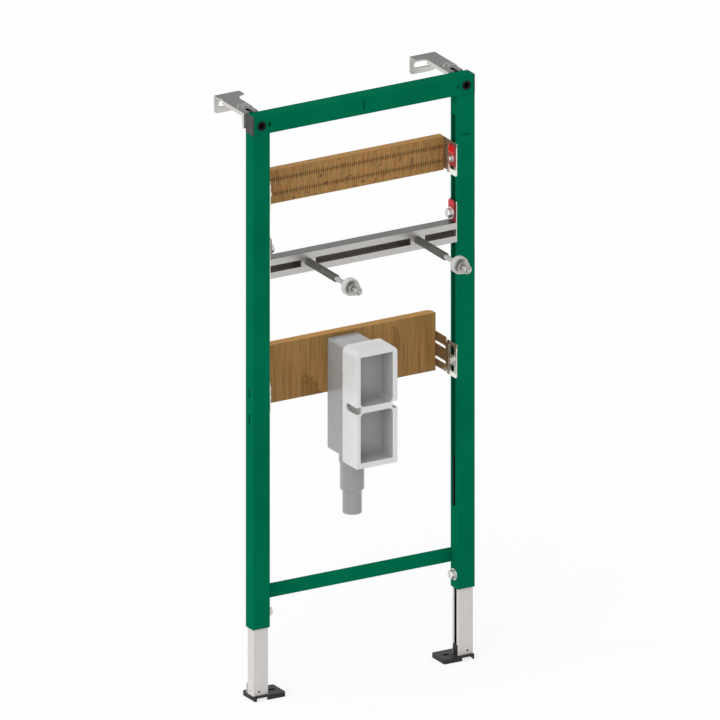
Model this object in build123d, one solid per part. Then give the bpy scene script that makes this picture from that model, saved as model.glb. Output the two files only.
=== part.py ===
"""Wall hung washbasin installation frame, in millimetres.

X runs across the frame from its middle, Y runs from the front plane of the posts towards the wall,
and Z runs up from the lower ends of the posts. The finished pieces are moved so that the origin lies
on the wall face of the left bracket's flange.
"""

from build123d import *
import os

# Frame profile
frame_width = 520.0
profile_width = 40.0
profile_depth = 30.0
profile_wall = 2.0
profile_radius = 1.0
post_height = 1068.0
beam_height = 40.0
slot_axis = 17.5
post_slot_width = 14.0
post_slot_bottom = 176.0
post_slot_margin = 45.0
side_window_width = 5.0
side_window_height = 20.0
side_window_level = 453.0
side_window_pitch = 55.0

# Top beam details
end_cap_plate = 3.0
end_cap_depth = 12.0
end_cap_clearance = 0.2
access_hole_diameter = 17.5
access_hole_inset = 20.0
access_hole_rise = 19.0
beam_key_width = 4.5
beam_key_height = 8.0
beam_key_depth = 0.8
beam_key_inset = 39.0
plug_flange_thickness = 1.25
plug_wall = 3.0
plug_depth = 10.0
plug_hex_across = 8.0
plug_clearance = 0.15
spindle_diameter = 8.0
spindle_length = 62.0
spindle_nut_across = 13.0
spindle_nut_height = 6.5

# Lower bar
bar_height = 30.5
bar_thickness = 3.0
bar_level = 52.4

# Telescopic legs and feet
leg_width = 35.0
leg_depth = 24.0
leg_wall = 2.0
leg_radius = 1.5
leg_slot_width = 11.0
leg_length = 424.5
leg_extension = 144.5
leg_pin_hole_diameter = 4.5
leg_pin_hole_rise = 8.0
leg_pin_hole_inset = 13.3
foot_length = 72.0
foot_width = 52.0
foot_height = 10.0
foot_front_margin = 7.5
foot_radius = 4.0
foot_shell = 3.0
foot_notch_length = 25.0
foot_notch_inset = 4.5
foot_notch_height = 6.6
foot_notch_depth = 12.0
foot_hole_diameter = 9.0
foot_hole_length = 16.0
foot_plug_height = 22.0
foot_plug_clearance = 0.25
foot_plug_radius = 6.0

# Fasteners
bolt_diameter = 8.0
bolt_across = 13.0
bolt_head_height = 6.8
washer_diameter = 22.0
washer_thickness = 1.6
bolt_hole_clearance = 0.5
channel_nut_width = 18.0
channel_nut_height = 16.0
channel_nut_thickness = 5.0
leg_bolt_level = 29.0
leg_nut_clearance = 0.4
rail_bolt_diameter = 10.0
rail_bolt_across = 17.0
rail_bolt_head_height = 9.0
rail_washer_diameter = 25.0

# Wall brackets
bracket_sheet = 3.0
bracket_rise = 2.0
bracket_arm_left = 21.5
bracket_arm_right = 12.5
bracket_arm_step = 3.0
bracket_arm_step_place = 58.0
bracket_wall_distance = 150.0
bracket_flange_width = 60.0
bracket_flange_side = 22.0
bracket_flange_height = 39.0
bracket_flange_radius = 8.0
bracket_tip_radius = 3.0
left_flange_shift = 4.5
right_flange_shift = -17.5
bracket_slot_length = 40.0
bracket_slot_width = 12.5
bracket_slot_rise = 19.0
bracket_window_shift = -7.0
bracket_window_width = 8.0
bracket_window_start = 34.0
bracket_window_length = 16.0
bracket_window_radius = 3.0
bracket_rib_drop = 9.0
bracket_rib_end = 118.0
bracket_tab_drop = 34.0
bracket_gusset_length = 4.0
bracket_gusset_slope = 5.0
bracket_tab_clearance = 0.3

# Mounting rail
rail_height = 42.0
rail_depth = 28.0
rail_wall = 2.0
rail_slot_width = 14.5
rail_axis_level = 772.0
rail_front = 2.5
rail_end_clearance = 0.0
rail_plate_thickness = 2.5
rail_plate_top = 838.0
rail_bolt_level = 811.0
rail_clip_bottom = 794.5
rail_clip_thickness = 3.0
rail_clip_front = 2.0
rail_clip_depth = 28.0

# Basin studs
stud_spacing = 256.0
stud_diameter = 10.0
stud_tip = 202.0
stud_tip_chamfer = 1.0
sleeve_diameter = 16.0
sleeve_end = 110.0
sleeve_clearance = 0.1
slide_nut_length = 33.0
slide_nut_plate = 4.0
slide_nut_lip_clearance = 0.3
slide_nut_wing = 22.0
bush_diameter = 37.0
bush_inner_end = 153.0
bush_collar = 13.0
bush_nose_diameter = 20.0
bush_length = 19.0
stud_washer_diameter = 30.0
stud_washer_thickness = 2.0
stud_nut_across = 17.0
stud_nut_height = 9.0

# Tap board and its brackets
tap_board_front = 54.0
tap_board_thickness = 20.0
tap_board_drop = 145.0
tap_board_height = 72.0
tap_bracket_height = 72.0
tap_rear_lift = 4.0
tap_bolt_drop = 35.0
tap_bolt_slot_length = 20.0
tap_bolt_slot_width = 9.0
tap_clip_drop = 5.0
tap_clip_height = 46.0

# Trap board and its brackets
trap_board_front = 87.0
trap_board_thickness = 22.0
trap_board_bottom = 447.0
trap_board_height = 125.0
trap_board_chamfer = 8.0
trap_bracket_bottom = 455.0
trap_bracket_height = 74.0
trap_rear_lift = 2.0
trap_rear_height = 75.0
trap_rear_margin = 10.0
trap_bolt_level = 491.5
trap_bolt_slot_level = 494.0
trap_bolt_slot_length = 56.0
trap_bolt_slot_width = 15.0
trap_bolt_slot_shift = 2.5
trap_slot_level = 476.0
trap_slot_pitch = 33.0
trap_slot_height = 6.0
trap_notch_width = 4.0
trap_notch_rise = 12.0
trap_notch_drop = 9.5

# Board brackets
board_bracket_sheet = 1.5
board_end_clearance = 0.15
bracket_front = 2.0
bracket_front_depth = 39.5
bracket_corner_radius = 6.0
bracket_lip_depth = 1.5
bracket_lip_height = 1.5
bead_start = 33.5
bead_height = 2.0
bead_margin = 8.0
depth_slot_margin = 6.0
depth_slot_rear_margin = 8.0
clip_front = 4.5
clip_rear = 31.0
clip_thickness = 2.5
clip_radius = 6.0

# Trap housing, box and outlet
housing_width = 73.0
housing_bottom = 326.0
housing_top = 565.0
housing_front = 4.0
housing_radius = 5.0
box_width = 97.0
box_bottom = 324.5
box_height = 252.0
box_front = -53.0
box_radius = 14.0
box_low_radius = 3.0
chamber_width = 75.0
chamber_height = 107.0
chamber_margin = 12.0
chamber_depth = 48.0
chamber_radius = 9.0
box_notch_height = 14.0
box_notch_width = 11.0
box_notch_depth = 40.0
outlet_axis_depth = 48.0
outlet_collar_diameter = 55.0
outlet_collar_bottom = 308.0
outlet_collar_slope = 11.0
outlet_socket_diameter = 50.0
outlet_socket_bottom = 242.0
outlet_spigot_diameter = 40.0
outlet_spigot_bottom = 194.0
outlet_wall = 2.5
outlet_chamfer = 4.0

# Places worked out from the sizes above
half_width = frame_width / 2
post_inner_face = half_width - profile_width
post_axis = half_width - profile_width / 2
profile_middle = profile_depth / 2
frame_top = post_height + beam_height
bracket_level = frame_top + bracket_rise
spindle_place = half_width - access_hole_inset
tap_top = frame_top - tap_board_drop
origin = Vector(
    left_flange_shift - spindle_place,
    bracket_wall_distance,
    bracket_level - bracket_flange_height + bracket_slot_rise,
)


def block(x0, x1, y0, y1, z0, z1):
    """A box between two corners."""
    middle = ((x0 + x1) / 2, (y0 + y1) / 2, (z0 + z1) / 2)
    return Pos(*middle) * Box(abs(x1 - x0), abs(y1 - y0), abs(z1 - z0))


def mirrored(piece):
    """The right hand twin of a left hand piece."""
    return mirror(piece, about=Plane.YZ)


def bar_along(axis, start, length, profile):
    """A flat profile pushed along one axis from a start point."""
    planes = {
        "x": Plane(origin=start, x_dir=(0, 1, 0), z_dir=(1, 0, 0)),
        "y": Plane(origin=start, x_dir=(1, 0, 0), z_dir=(0, -1, 0)),
        "z": Plane(origin=start, x_dir=(1, 0, 0), z_dir=(0, 0, 1)),
    }
    return extrude(planes[axis] * profile, amount=length)


def rod(axis, start, length, diameter):
    """A round bar from a start point along x, along -y or along z."""
    return bar_along(axis, start, length, Circle(diameter / 2))


def hexagon(across):
    """A hexagon of the given size across its flats."""
    return RegularPolygon(across / 2, 6, major_radius=False)


# Frame

def tube_profile(width, depth, wall, radius):
    """A rounded rectangular tube section, centred."""
    inner_radius = max(radius - wall, 0.3)
    outer = RectangleRounded(width, depth, radius)
    inner = RectangleRounded(width - 2 * wall, depth - 2 * wall, inner_radius)
    return outer - inner


def left_post():
    """Upright tube with its long slot on the inward side and two windows on the outer side."""
    section = tube_profile(profile_width, profile_depth, profile_wall, profile_radius)
    post = bar_along("z", (-post_axis, profile_middle, 0), post_height, section)
    slot_y = (slot_axis - post_slot_width / 2, slot_axis + post_slot_width / 2)
    inner = -post_inner_face
    slot_top = post_height - post_slot_margin
    post -= block(inner - 2 * profile_wall, inner + 1, *slot_y, post_slot_bottom, slot_top)
    hole_diameter = rail_bolt_diameter + 2 * bolt_hole_clearance
    hole_start = (inner - 2 * profile_wall, profile_middle, leg_bolt_level)
    post -= rod("x", hole_start, 3 * profile_wall, hole_diameter)
    window_y = (profile_middle - side_window_width / 2, profile_middle + side_window_width / 2)
    for level in (side_window_level, side_window_level + side_window_pitch):
        window_z = (level - side_window_height / 2, level + side_window_height / 2)
        post -= block(-half_width - 1, -half_width + 2 * profile_wall, *window_y, *window_z)
    return post


def top_beam():
    """Tube that closes the frame at the top, bored for the plugs and the spindles."""
    section = tube_profile(profile_depth, beam_height, profile_wall, profile_radius)
    length = frame_width - 2 * end_cap_plate
    middle_level = post_height + beam_height / 2
    start = (-length / 2, profile_middle, middle_level)
    beam = bar_along("x", start, length, section)
    level = post_height + access_hole_rise
    key_z = (level - beam_key_height / 2, level + beam_key_height / 2)
    for side in (-1, 1):
        x = side * (half_width - access_hole_inset)
        beam -= rod("y", (x, 2 * profile_wall, level), 3 * profile_wall, access_hole_diameter)
        rear = (x, profile_depth + 1, level)
        beam -= rod("y", rear, 2 * profile_wall, spindle_diameter + 2 * bolt_hole_clearance)
        key = side * (half_width - beam_key_inset)
        key_x = (key - beam_key_width / 2, key + beam_key_width / 2)
        beam -= block(*key_x, -1, beam_key_depth, *key_z)
    return beam


def left_end_cap():
    """Moulded cap with the beam's outline and a plug that fits inside it."""
    outline = RectangleRounded(profile_depth, beam_height, profile_radius)
    middle_level = post_height + beam_height / 2
    plate = bar_along("x", (-half_width, profile_middle, middle_level), end_cap_plate, outline)
    inset = 2 * (profile_wall + end_cap_clearance)
    plug_outline = RectangleRounded(profile_depth - inset, beam_height - inset, profile_wall)
    hollow = offset(plug_outline, amount=-profile_wall)
    start = (-half_width + end_cap_plate, profile_middle, middle_level)
    plug = bar_along("x", start, end_cap_depth, plug_outline - hollow)
    access_x = -half_width + access_hole_inset
    relief = rod("y", (access_x, profile_depth, post_height + access_hole_rise),
                 profile_depth, access_hole_diameter)
    return plate + (plug - relief)


def left_access_plug():
    """Ring with a recessed hexagon socket in the front of the beam."""
    x = -half_width + access_hole_inset
    level = post_height + access_hole_rise
    body_diameter = access_hole_diameter - 2 * plug_clearance
    body = rod("y", (x, plug_depth, level), plug_depth, body_diameter)
    flange_diameter = access_hole_diameter + 2 * plug_flange_thickness
    flange = rod("y", (x, 0, level), plug_flange_thickness, flange_diameter)
    plug = body + flange
    bore_depth = plug_depth + plug_flange_thickness - plug_wall
    mouth = rod("y", (x, plug_depth - plug_wall, level), bore_depth + 1,
                access_hole_diameter - 2 * plug_wall)
    socket = bar_along("y", (x, plug_depth - 0.5, level), plug_depth, hexagon(plug_hex_across))
    return plug - mouth - socket


def left_wall_spindle():
    """Rod from the plug through the bracket's tab, with its nut behind the tab."""
    x = -half_width + access_hole_inset
    level = post_height + access_hole_rise
    end = plug_depth + spindle_length
    spindle = rod("y", (x, end, level), spindle_length, spindle_diameter)
    nut_front = profile_depth + bracket_tab_clearance + bracket_sheet
    nut_start = (x, nut_front + spindle_nut_height, level)
    nut = bar_along("y", nut_start, spindle_nut_height, hexagon(spindle_nut_across))
    return spindle + nut


def lower_bar():
    """Flat bar between the posts at their rear faces."""
    y = (profile_depth - bar_thickness, profile_depth)
    z = (bar_level, bar_level + bar_height)
    return block(-post_inner_face, post_inner_face, *y, *z)


# Legs

def left_leg():
    """Galvanised C tube that slides inside the post."""
    section = tube_profile(leg_width, leg_depth, leg_wall, leg_radius)
    lip_gap = Pos(leg_width / 2, 0) * Rectangle(4 * leg_wall, leg_slot_width)
    start = (-post_axis, profile_middle, -leg_extension)
    leg = bar_along("z", start, leg_length, section - lip_gap)
    mouth = (leg_depth - 2 * leg_wall) / 2
    lip_face = -post_axis + leg_width / 2
    leg -= block(lip_face - 2 * leg_wall, lip_face + 1, profile_middle - mouth,
                 profile_middle + mouth, -leg_extension - 1, -leg_extension + foot_plug_height)
    hole_x = -post_axis - leg_width / 2 + leg_pin_hole_inset
    hole_start = (hole_x, profile_depth, -leg_extension + leg_pin_hole_rise)
    return leg - rod("y", hole_start, 2 * profile_depth, leg_pin_hole_diameter)


def left_foot():
    """Moulded foot: a hollow pad with an open front edge, a plug for the leg and a slotted hole."""
    x0 = -post_axis - leg_width / 2
    y0 = profile_middle - leg_depth / 2 - foot_front_margin
    top = -leg_extension
    bottom = top - foot_height
    middle = (x0 + foot_length / 2, y0 + foot_width / 2, bottom)
    outline = RectangleRounded(foot_length, foot_width, foot_radius)
    pad = bar_along("z", middle, foot_height, outline)
    hollow = RectangleRounded(foot_length - 2 * foot_shell, foot_width - 2 * foot_shell, 1.5)
    pad -= bar_along("z", middle, foot_height - foot_shell, hollow)
    notch_x = (x0 + foot_notch_inset, x0 + foot_notch_inset + foot_notch_length)
    pad -= block(*notch_x, y0 - 1, y0 + foot_notch_depth, bottom - 1, bottom + foot_notch_height)
    hole_middle = (x0 + (leg_width + foot_length) / 2, y0 + foot_width / 2)
    ring = bar_along("z", (*hole_middle, bottom), foot_height,
                     SlotOverall(foot_hole_length + 2 * foot_shell,
                                 foot_hole_diameter + 2 * foot_shell))
    hole = bar_along("z", (*hole_middle, bottom - 1), foot_height + 2,
                     SlotOverall(foot_hole_length, foot_hole_diameter))
    pad = pad + ring - hole
    reach_y = leg_depth / 2 - leg_wall - foot_plug_clearance
    plug_x = (x0 + leg_wall + foot_plug_clearance, x0 + leg_width)
    plug = block(*plug_x, profile_middle - reach_y, profile_middle + reach_y,
                 top, top + foot_plug_height - foot_plug_clearance)
    crown = plug.edges().filter_by(Axis.X).group_by(Axis.Z)[-1]
    return pad + fillet(crown, foot_plug_radius)


# Fasteners on the inward faces of the posts

def left_side_bolt(y, level, stack, nut_gap, size):
    """Bolt head and washer on a stack of plates, shank through the post wall, nut inside the post.

    The stack is the thickness of what lies between the post and the washer, and nut_gap is the
    distance from the inside of the post wall to the nut. The size holds the shank's diameter, the
    head's width across its flats, the head's height and the washer's diameter.
    """
    diameter, across, head_height, washer_across = size
    face = -post_inner_face + stack
    washer = rod("x", (face, y, level), washer_thickness, washer_across)
    head_start = (face + washer_thickness, y, level)
    head = bar_along("x", head_start, head_height, hexagon(across))
    inside = -post_inner_face - profile_wall - nut_gap
    nut_x = (inside - channel_nut_thickness, inside)
    nut_y = (y - channel_nut_width / 2, y + channel_nut_width / 2)
    nut_z = (level - channel_nut_height / 2, level + channel_nut_height / 2)
    nut = block(*nut_x, *nut_y, *nut_z)
    shank_start = (nut_x[0], y, level)
    shank = rod("x", shank_start, head_start[0] - nut_x[0], diameter)
    return washer + head + nut + shank


def left_board_bolt(level, stack):
    """The smaller side bolt, which holds a board bracket."""
    size = (bolt_diameter, bolt_across, bolt_head_height, washer_diameter)
    return left_side_bolt(slot_axis, level, stack, 0.0, size)


def left_frame_bolt(y, level, stack, nut_gap):
    """The larger side bolt, which holds the rail or the leg."""
    size = (rail_bolt_diameter, rail_bolt_across, rail_bolt_head_height, rail_washer_diameter)
    return left_side_bolt(y, level, stack, nut_gap, size)


def left_leg_bolt():
    """Clamp bolt whose nut bears behind the lips of the leg."""
    lip_inside = (profile_width - leg_width) / 2 - profile_wall + leg_wall
    return left_frame_bolt(profile_middle, leg_bolt_level, 0.0, lip_inside + leg_nut_clearance)


# Wall brackets

def bracket_plate(arm_x, flange_x):
    """Top sheet of a wall bracket: the arm and the wider flange end with its hollow flares."""
    front = profile_depth + bracket_tab_clearance
    tip = bracket_wall_distance - bracket_flange_side
    z = (bracket_level - bracket_sheet, bracket_level)
    plate = block(*arm_x, front, bracket_wall_distance, *z)
    plate += block(*flange_x, tip, bracket_wall_distance, *z)
    for arm_edge, flange_edge in zip(arm_x, flange_x):
        overhang = abs(flange_edge - arm_edge)
        if overhang <= bracket_tip_radius:
            continue
        flare = block(arm_edge, flange_edge, tip - overhang, tip, *z)
        hollow = rod("z", (flange_edge, tip - overhang, z[0]), bracket_sheet, 2 * overhang)
        plate += flare - hollow
        tip_edge = plate.edges().filter_by(Axis.Z).sort_by_distance((flange_edge, tip, z[1]))[0]
        plate = fillet(tip_edge, bracket_tip_radius)
    step_x = (arm_x[1] - bracket_arm_step, arm_x[1] + 1)
    return plate - block(*step_x, front - 1, bracket_arm_step_place, z[0] - 1, z[1] + 1)


def bracket_side(arm_left):
    """Rib along the arm that deepens into the gusset behind the tab."""
    front = profile_depth + bracket_tab_clearance
    slope_end = bracket_gusset_length + bracket_gusset_slope
    rib_length = bracket_rib_end - front
    outline = Polygon((0, 0), (rib_length, 0), (rib_length, -bracket_rib_drop),
                      (slope_end, -bracket_rib_drop), (bracket_gusset_length, -bracket_tab_drop),
                      (0, -bracket_tab_drop), align=None)
    plane = Plane(origin=(arm_left, front, bracket_level), x_dir=(0, 1, 0), z_dir=(1, 0, 0))
    return extrude(plane * outline, amount=bracket_sheet)


def wall_bracket(spindle_x, flange_shift):
    """Folded bracket: arm with a window, wall flange with a slot, side gusset and a front tab."""
    arm_x = (spindle_x - bracket_arm_left, spindle_x + bracket_arm_right)
    flange_middle = spindle_x + flange_shift
    reach = bracket_flange_width / 2
    flange_x = (flange_middle - reach, flange_middle + reach)
    front = profile_depth + bracket_tab_clearance
    wall = bracket_wall_distance
    flange = block(*flange_x, wall - bracket_sheet, wall,
                   bracket_level - bracket_flange_height, bracket_level)
    corners = flange.edges().filter_by(Axis.Y).group_by(Axis.Z)[0]
    tab_x = (arm_x[0], arm_x[1] - bracket_arm_step)
    tab = block(*tab_x, front, front + bracket_sheet, bracket_level - bracket_tab_drop, bracket_level)
    bracket = bracket_plate(arm_x, flange_x) + fillet(corners, bracket_flange_radius)
    bracket += bracket_side(arm_x[0]) + tab
    slot_start = (flange_middle, wall + 1, origin.Z)
    slot = bar_along("y", slot_start, bracket_sheet + 2,
                     SlotOverall(bracket_slot_length, bracket_slot_width))
    window_middle = (spindle_x + bracket_window_shift,
                     bracket_window_start + bracket_window_length / 2,
                     bracket_level - 2 * bracket_sheet)
    window = bar_along("z", window_middle, 3 * bracket_sheet,
                       RectangleRounded(bracket_window_width, bracket_window_length,
                                        bracket_window_radius))
    spindle_start = (spindle_x, front + 2 * bracket_sheet, post_height + access_hole_rise)
    spindle_hole = rod("y", spindle_start, 3 * bracket_sheet,
                       spindle_diameter + 2 * bolt_hole_clearance)
    return bracket - slot - window - spindle_hole


def left_wall_bracket():
    """Bracket of the left spindle."""
    return wall_bracket(-spindle_place, left_flange_shift)


def right_wall_bracket():
    """Bracket of the right spindle, the same arm with its flange reaching inward."""
    return wall_bracket(spindle_place, right_flange_shift)


# Mounting rail with its clips

def mounting_rail():
    """C rail with its slot to the front and an end plate at each post."""
    length = 2 * (post_inner_face - rail_end_clearance)
    outer = Rectangle(rail_depth, rail_height)
    inner = Rectangle(rail_depth - 2 * rail_wall, rail_height - 2 * rail_wall)
    mouth = Pos(-rail_depth / 2, 0) * Rectangle(4 * rail_wall, rail_slot_width)
    middle = rail_front + rail_depth / 2
    start = (-length / 2, middle, rail_axis_level)
    rail = bar_along("x", start, length, outer - inner - mouth)
    plate_y = (rail_front, rail_front + rail_depth)
    plate_z = (rail_axis_level - rail_height / 2, rail_plate_top)
    hole_diameter = rail_bolt_diameter + 2 * bolt_hole_clearance
    reach = 2 * rail_plate_thickness
    for side in (-1, 1):
        outside = side * length / 2
        inside = side * (length / 2 - rail_plate_thickness)
        plate = block(inside, outside, *plate_y, *plate_z)
        hole_start = (outside - reach, slot_axis, rail_bolt_level)
        rail += plate - rod("x", hole_start, 2 * reach, hole_diameter)
    return rail


def left_rail_clip():
    """Plastic clip over the end plate of the rail, round the bolt."""
    x0 = -post_inner_face + rail_plate_thickness
    y = (rail_clip_front, rail_clip_front + rail_clip_depth)
    z = (rail_clip_bottom, rail_plate_top)
    clip = block(x0, x0 + rail_clip_thickness, *y, *z)
    corners = clip.edges().filter_by(Axis.X).group_by(Axis.Z)[-1]
    clip = fillet(corners, clip_radius)
    hole = rod("x", (x0 - 1, slot_axis, rail_bolt_level), 2 * rail_clip_thickness,
               rail_bolt_diameter + 2 * bolt_hole_clearance)
    return clip - hole


def left_rail_bolt():
    """Larger bolt that holds the rail's end plate and clip on the post."""
    stack = rail_plate_thickness + rail_clip_thickness
    return left_frame_bolt(slot_axis, rail_bolt_level, stack, 0.0)


# Basin studs

def stud_places():
    """The X places of the two studs."""
    return (-stud_spacing / 2, stud_spacing / 2)


def channel_nuts():
    """Slide nuts that fill the slot of the rail and bear behind its lips."""
    back = rail_front + rail_wall + slide_nut_lip_clearance
    neck_height = rail_slot_width - 2 * slide_nut_lip_clearance
    nuts = []
    for x in stud_places():
        span = (x - slide_nut_length / 2, x + slide_nut_length / 2)
        neck = block(*span, rail_front, back + slide_nut_plate,
                     rail_axis_level - neck_height / 2, rail_axis_level + neck_height / 2)
        wing = block(*span, back, back + slide_nut_plate,
                     rail_axis_level - slide_nut_wing / 2, rail_axis_level + slide_nut_wing / 2)
        bore = rod("y", (x, profile_depth, rail_axis_level), 2 * profile_depth, stud_diameter)
        nuts.append(neck + wing - bore)
    return Compound(children=nuts)


def stud(x):
    """Rod from inside the rail to its free tip, with the washer and nut that hold the bush."""
    inner_end = rail_front + rail_depth - 2 * rail_wall
    length = inner_end + stud_tip
    shaft = rod("y", (x, inner_end, rail_axis_level), length, stud_diameter)
    tips = shaft.edges().group_by(Axis.Y)
    shaft = chamfer(tips[0] + tips[-1], stud_tip_chamfer)
    face = -bush_inner_end - bush_length
    washer = rod("y", (x, face, rail_axis_level), stud_washer_thickness, stud_washer_diameter)
    nut_start = (x, face - stud_washer_thickness, rail_axis_level)
    nut = bar_along("y", nut_start, stud_nut_height, hexagon(stud_nut_across))
    return shaft + washer + nut


def stud_sleeve(x):
    """Sleeve nut between the rail and the bare end of the rod."""
    length = sleeve_end + rail_front
    start = (x, rail_front, rail_axis_level)
    sleeve = rod("y", start, length, sleeve_diameter)
    return sleeve - rod("y", (x, profile_depth, rail_axis_level), 2 * sleeve_end,
                        stud_diameter + 2 * sleeve_clearance)


def stud_bushes():
    """Collared bushes that centre the basin on the studs."""
    bushes = []
    for x in stud_places():
        nose_length = bush_length - bush_collar
        nose = rod("y", (x, -bush_inner_end, rail_axis_level), nose_length, bush_nose_diameter)
        collar_start = (x, -bush_inner_end - nose_length, rail_axis_level)
        collar = rod("y", collar_start, bush_collar, bush_diameter)
        bore = rod("y", (x, 0, rail_axis_level), 2 * stud_tip, stud_diameter + 2 * sleeve_clearance)
        bushes.append(collar + nose - bore)
    return Compound(children=bushes)


# Boards and their brackets

def board(front, thickness, bottom, height):
    """Plywood board between the brackets."""
    reach = post_inner_face - board_bracket_sheet - board_end_clearance
    return block(-reach, reach, front, front + thickness, bottom, bottom + height)


def trap_board():
    """Board behind the trap, bevelled at the rear of its ends."""
    plank = board(trap_board_front, trap_board_thickness, trap_board_bottom, trap_board_height)
    rear_ends = plank.edges().filter_by(Axis.Z).group_by(Axis.Y)[-1]
    return chamfer(rear_ends, trap_board_chamfer)


def slot_through_sheet(axis, middle, length, width):
    """A cutter for a slot in the bracket's sheet, long along y or along z."""
    long_way = {"y": (0, 1, 0), "z": (0, 0, 1)}
    start = (-post_inner_face - board_bracket_sheet, *middle)
    plane = Plane(origin=start, x_dir=long_way[axis], z_dir=(1, 0, 0))
    return extrude(plane * SlotOverall(length, width), amount=3 * board_bracket_sheet)


def left_board_bracket(back, front_z, rear_z, bolt_slot):
    """Sheet beside the post and the end of the board, with a front lip and an upright bead.

    The two z spans are those of the part on the post and of the part behind it, and bolt_slot is the
    cutter of the upright slot for the bolt.
    """
    post_face = -post_inner_face
    sheet = post_face + board_bracket_sheet
    front_end = bracket_front + bracket_front_depth
    front_part = block(post_face, sheet, bracket_front, front_end, *front_z)
    edges = front_part.edges().filter_by(Axis.X)
    low_front = edges.sort_by_distance((sheet, bracket_front, front_z[0]))[0]
    high_rear = edges.sort_by_distance((sheet, front_end, front_z[1]))[0]
    front_part = fillet(high_rear, bracket_corner_radius / 2)
    low_front = front_part.edges().filter_by(Axis.X).sort_by_distance(low_front.center())[0]
    front_part = fillet(low_front, bracket_corner_radius)
    rear_part = block(post_face, sheet, front_end - bracket_corner_radius / 2, back,
                      rear_z[0], rear_z[1] - bracket_corner_radius)
    rear_part += block(post_face, sheet, front_end, back, *rear_z)
    bead_z = (front_z[0] + bead_margin, front_z[1] - bead_margin)
    lip = block(sheet, sheet + bracket_lip_height, bracket_front, bracket_front + bracket_lip_depth,
                *bead_z)
    bead = block(sheet, sheet + bead_height, bead_start, front_end, *bead_z)
    return front_part + rear_part + lip + bead - bolt_slot


def left_tap_bracket():
    """Bracket of the tap board."""
    back = tap_board_front + tap_board_thickness
    bottom = tap_top - tap_bracket_height
    bolt_slot = slot_through_sheet("z", (slot_axis, tap_top - tap_bolt_drop),
                                   tap_bolt_slot_length, tap_bolt_slot_width)
    return left_board_bracket(back, (bottom, tap_top), (bottom + tap_rear_lift, tap_top), bolt_slot)


def left_trap_bracket():
    """Bracket of the trap board, with two slots for the board's depth."""
    back = trap_board_front + trap_board_thickness - trap_rear_margin
    bolt_slot = slot_through_sheet("z", (slot_axis + trap_bolt_slot_shift, trap_bolt_slot_level),
                                   trap_bolt_slot_length, trap_bolt_slot_width)
    rear_bottom = trap_bracket_bottom + trap_rear_lift
    bracket = left_board_bracket(back, (trap_bracket_bottom, trap_bracket_bottom + trap_bracket_height),
                                 (rear_bottom, rear_bottom + trap_rear_height), bolt_slot)
    front_end = bracket_front + bracket_front_depth
    rear_top = rear_bottom + trap_rear_height
    sheet_x = (-post_inner_face - 1, -post_inner_face + 2 * board_bracket_sheet)
    notch_y = (front_end, front_end + trap_notch_width)
    bracket -= block(*sheet_x, *notch_y, rear_bottom - 1, rear_bottom + trap_notch_rise)
    bracket -= block(*sheet_x, *notch_y, rear_top - trap_notch_drop, rear_top + 1)
    start = front_end + depth_slot_margin
    end = back - depth_slot_rear_margin
    for level in (trap_slot_level, trap_slot_level + trap_slot_pitch):
        bracket -= slot_through_sheet("y", ((start + end) / 2, level), end - start, trap_slot_height)
    return bracket


def left_tap_clip():
    """Plastic insert between the lip and the bead of the tap bracket."""
    x0 = -post_inner_face + board_bracket_sheet
    top = tap_top - tap_clip_drop
    clip = block(x0, x0 + clip_thickness, clip_front, clip_rear, top - tap_clip_height, top)
    corners = clip.edges().filter_by(Axis.X).group_by(Axis.Z)[-1]
    clip = fillet(corners, clip_radius)
    hole_start = (x0 - clip_thickness, slot_axis, tap_top - tap_bolt_drop)
    return clip - rod("x", hole_start, 3 * clip_thickness, bolt_diameter + 2 * bolt_hole_clearance)


def left_tap_bolt():
    """Bolt of the tap bracket."""
    return left_board_bolt(tap_top - tap_bolt_drop, board_bracket_sheet + clip_thickness)


def left_trap_bolt():
    """Bolt of the trap bracket."""
    return left_board_bolt(trap_bolt_level, board_bracket_sheet)


# Trap

def trap_housing():
    """Rear half of the concealed trap, in front of the trap board."""
    middle_level = (housing_bottom + housing_top) / 2
    outline = RectangleRounded(housing_width, housing_top - housing_bottom, housing_radius)
    start = (0, trap_board_front, middle_level)
    return bar_along("y", start, trap_board_front - housing_front, outline)


def trap_box():
    """Front box with two chambers, split by a divider and notched at both sides."""
    middle_level = box_bottom + box_height / 2
    outline = Rectangle(box_width, box_height)
    outline = fillet(outline.vertices().group_by(Axis.Y)[-1], box_radius)
    outline = fillet(outline.vertices().group_by(Axis.Y)[0], box_low_radius)
    start = (0, housing_front, middle_level)
    box = bar_along("y", start, housing_front - box_front, outline)
    divider = box_height - 2 * chamber_margin - 2 * chamber_height
    shift = (chamber_height + divider) / 2
    for side in (-1, 1):
        outer_half = Rectangle(chamber_width, chamber_height / 2)
        opening = RectangleRounded(chamber_width, chamber_height, chamber_radius)
        opening += Pos(0, side * chamber_height / 4) * outer_half
        mouth = (0, box_front + chamber_depth, middle_level + side * shift)
        box -= bar_along("y", mouth, chamber_depth + 1, opening)
        notch_x = side * (box_width - box_notch_width) / 2
        notch_start = (notch_x - box_notch_width / 2, box_front, middle_level)
        notch = SlotOverall(2 * box_notch_depth, box_notch_height)
        box -= bar_along("x", notch_start, box_notch_width, notch)
    return box


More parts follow.
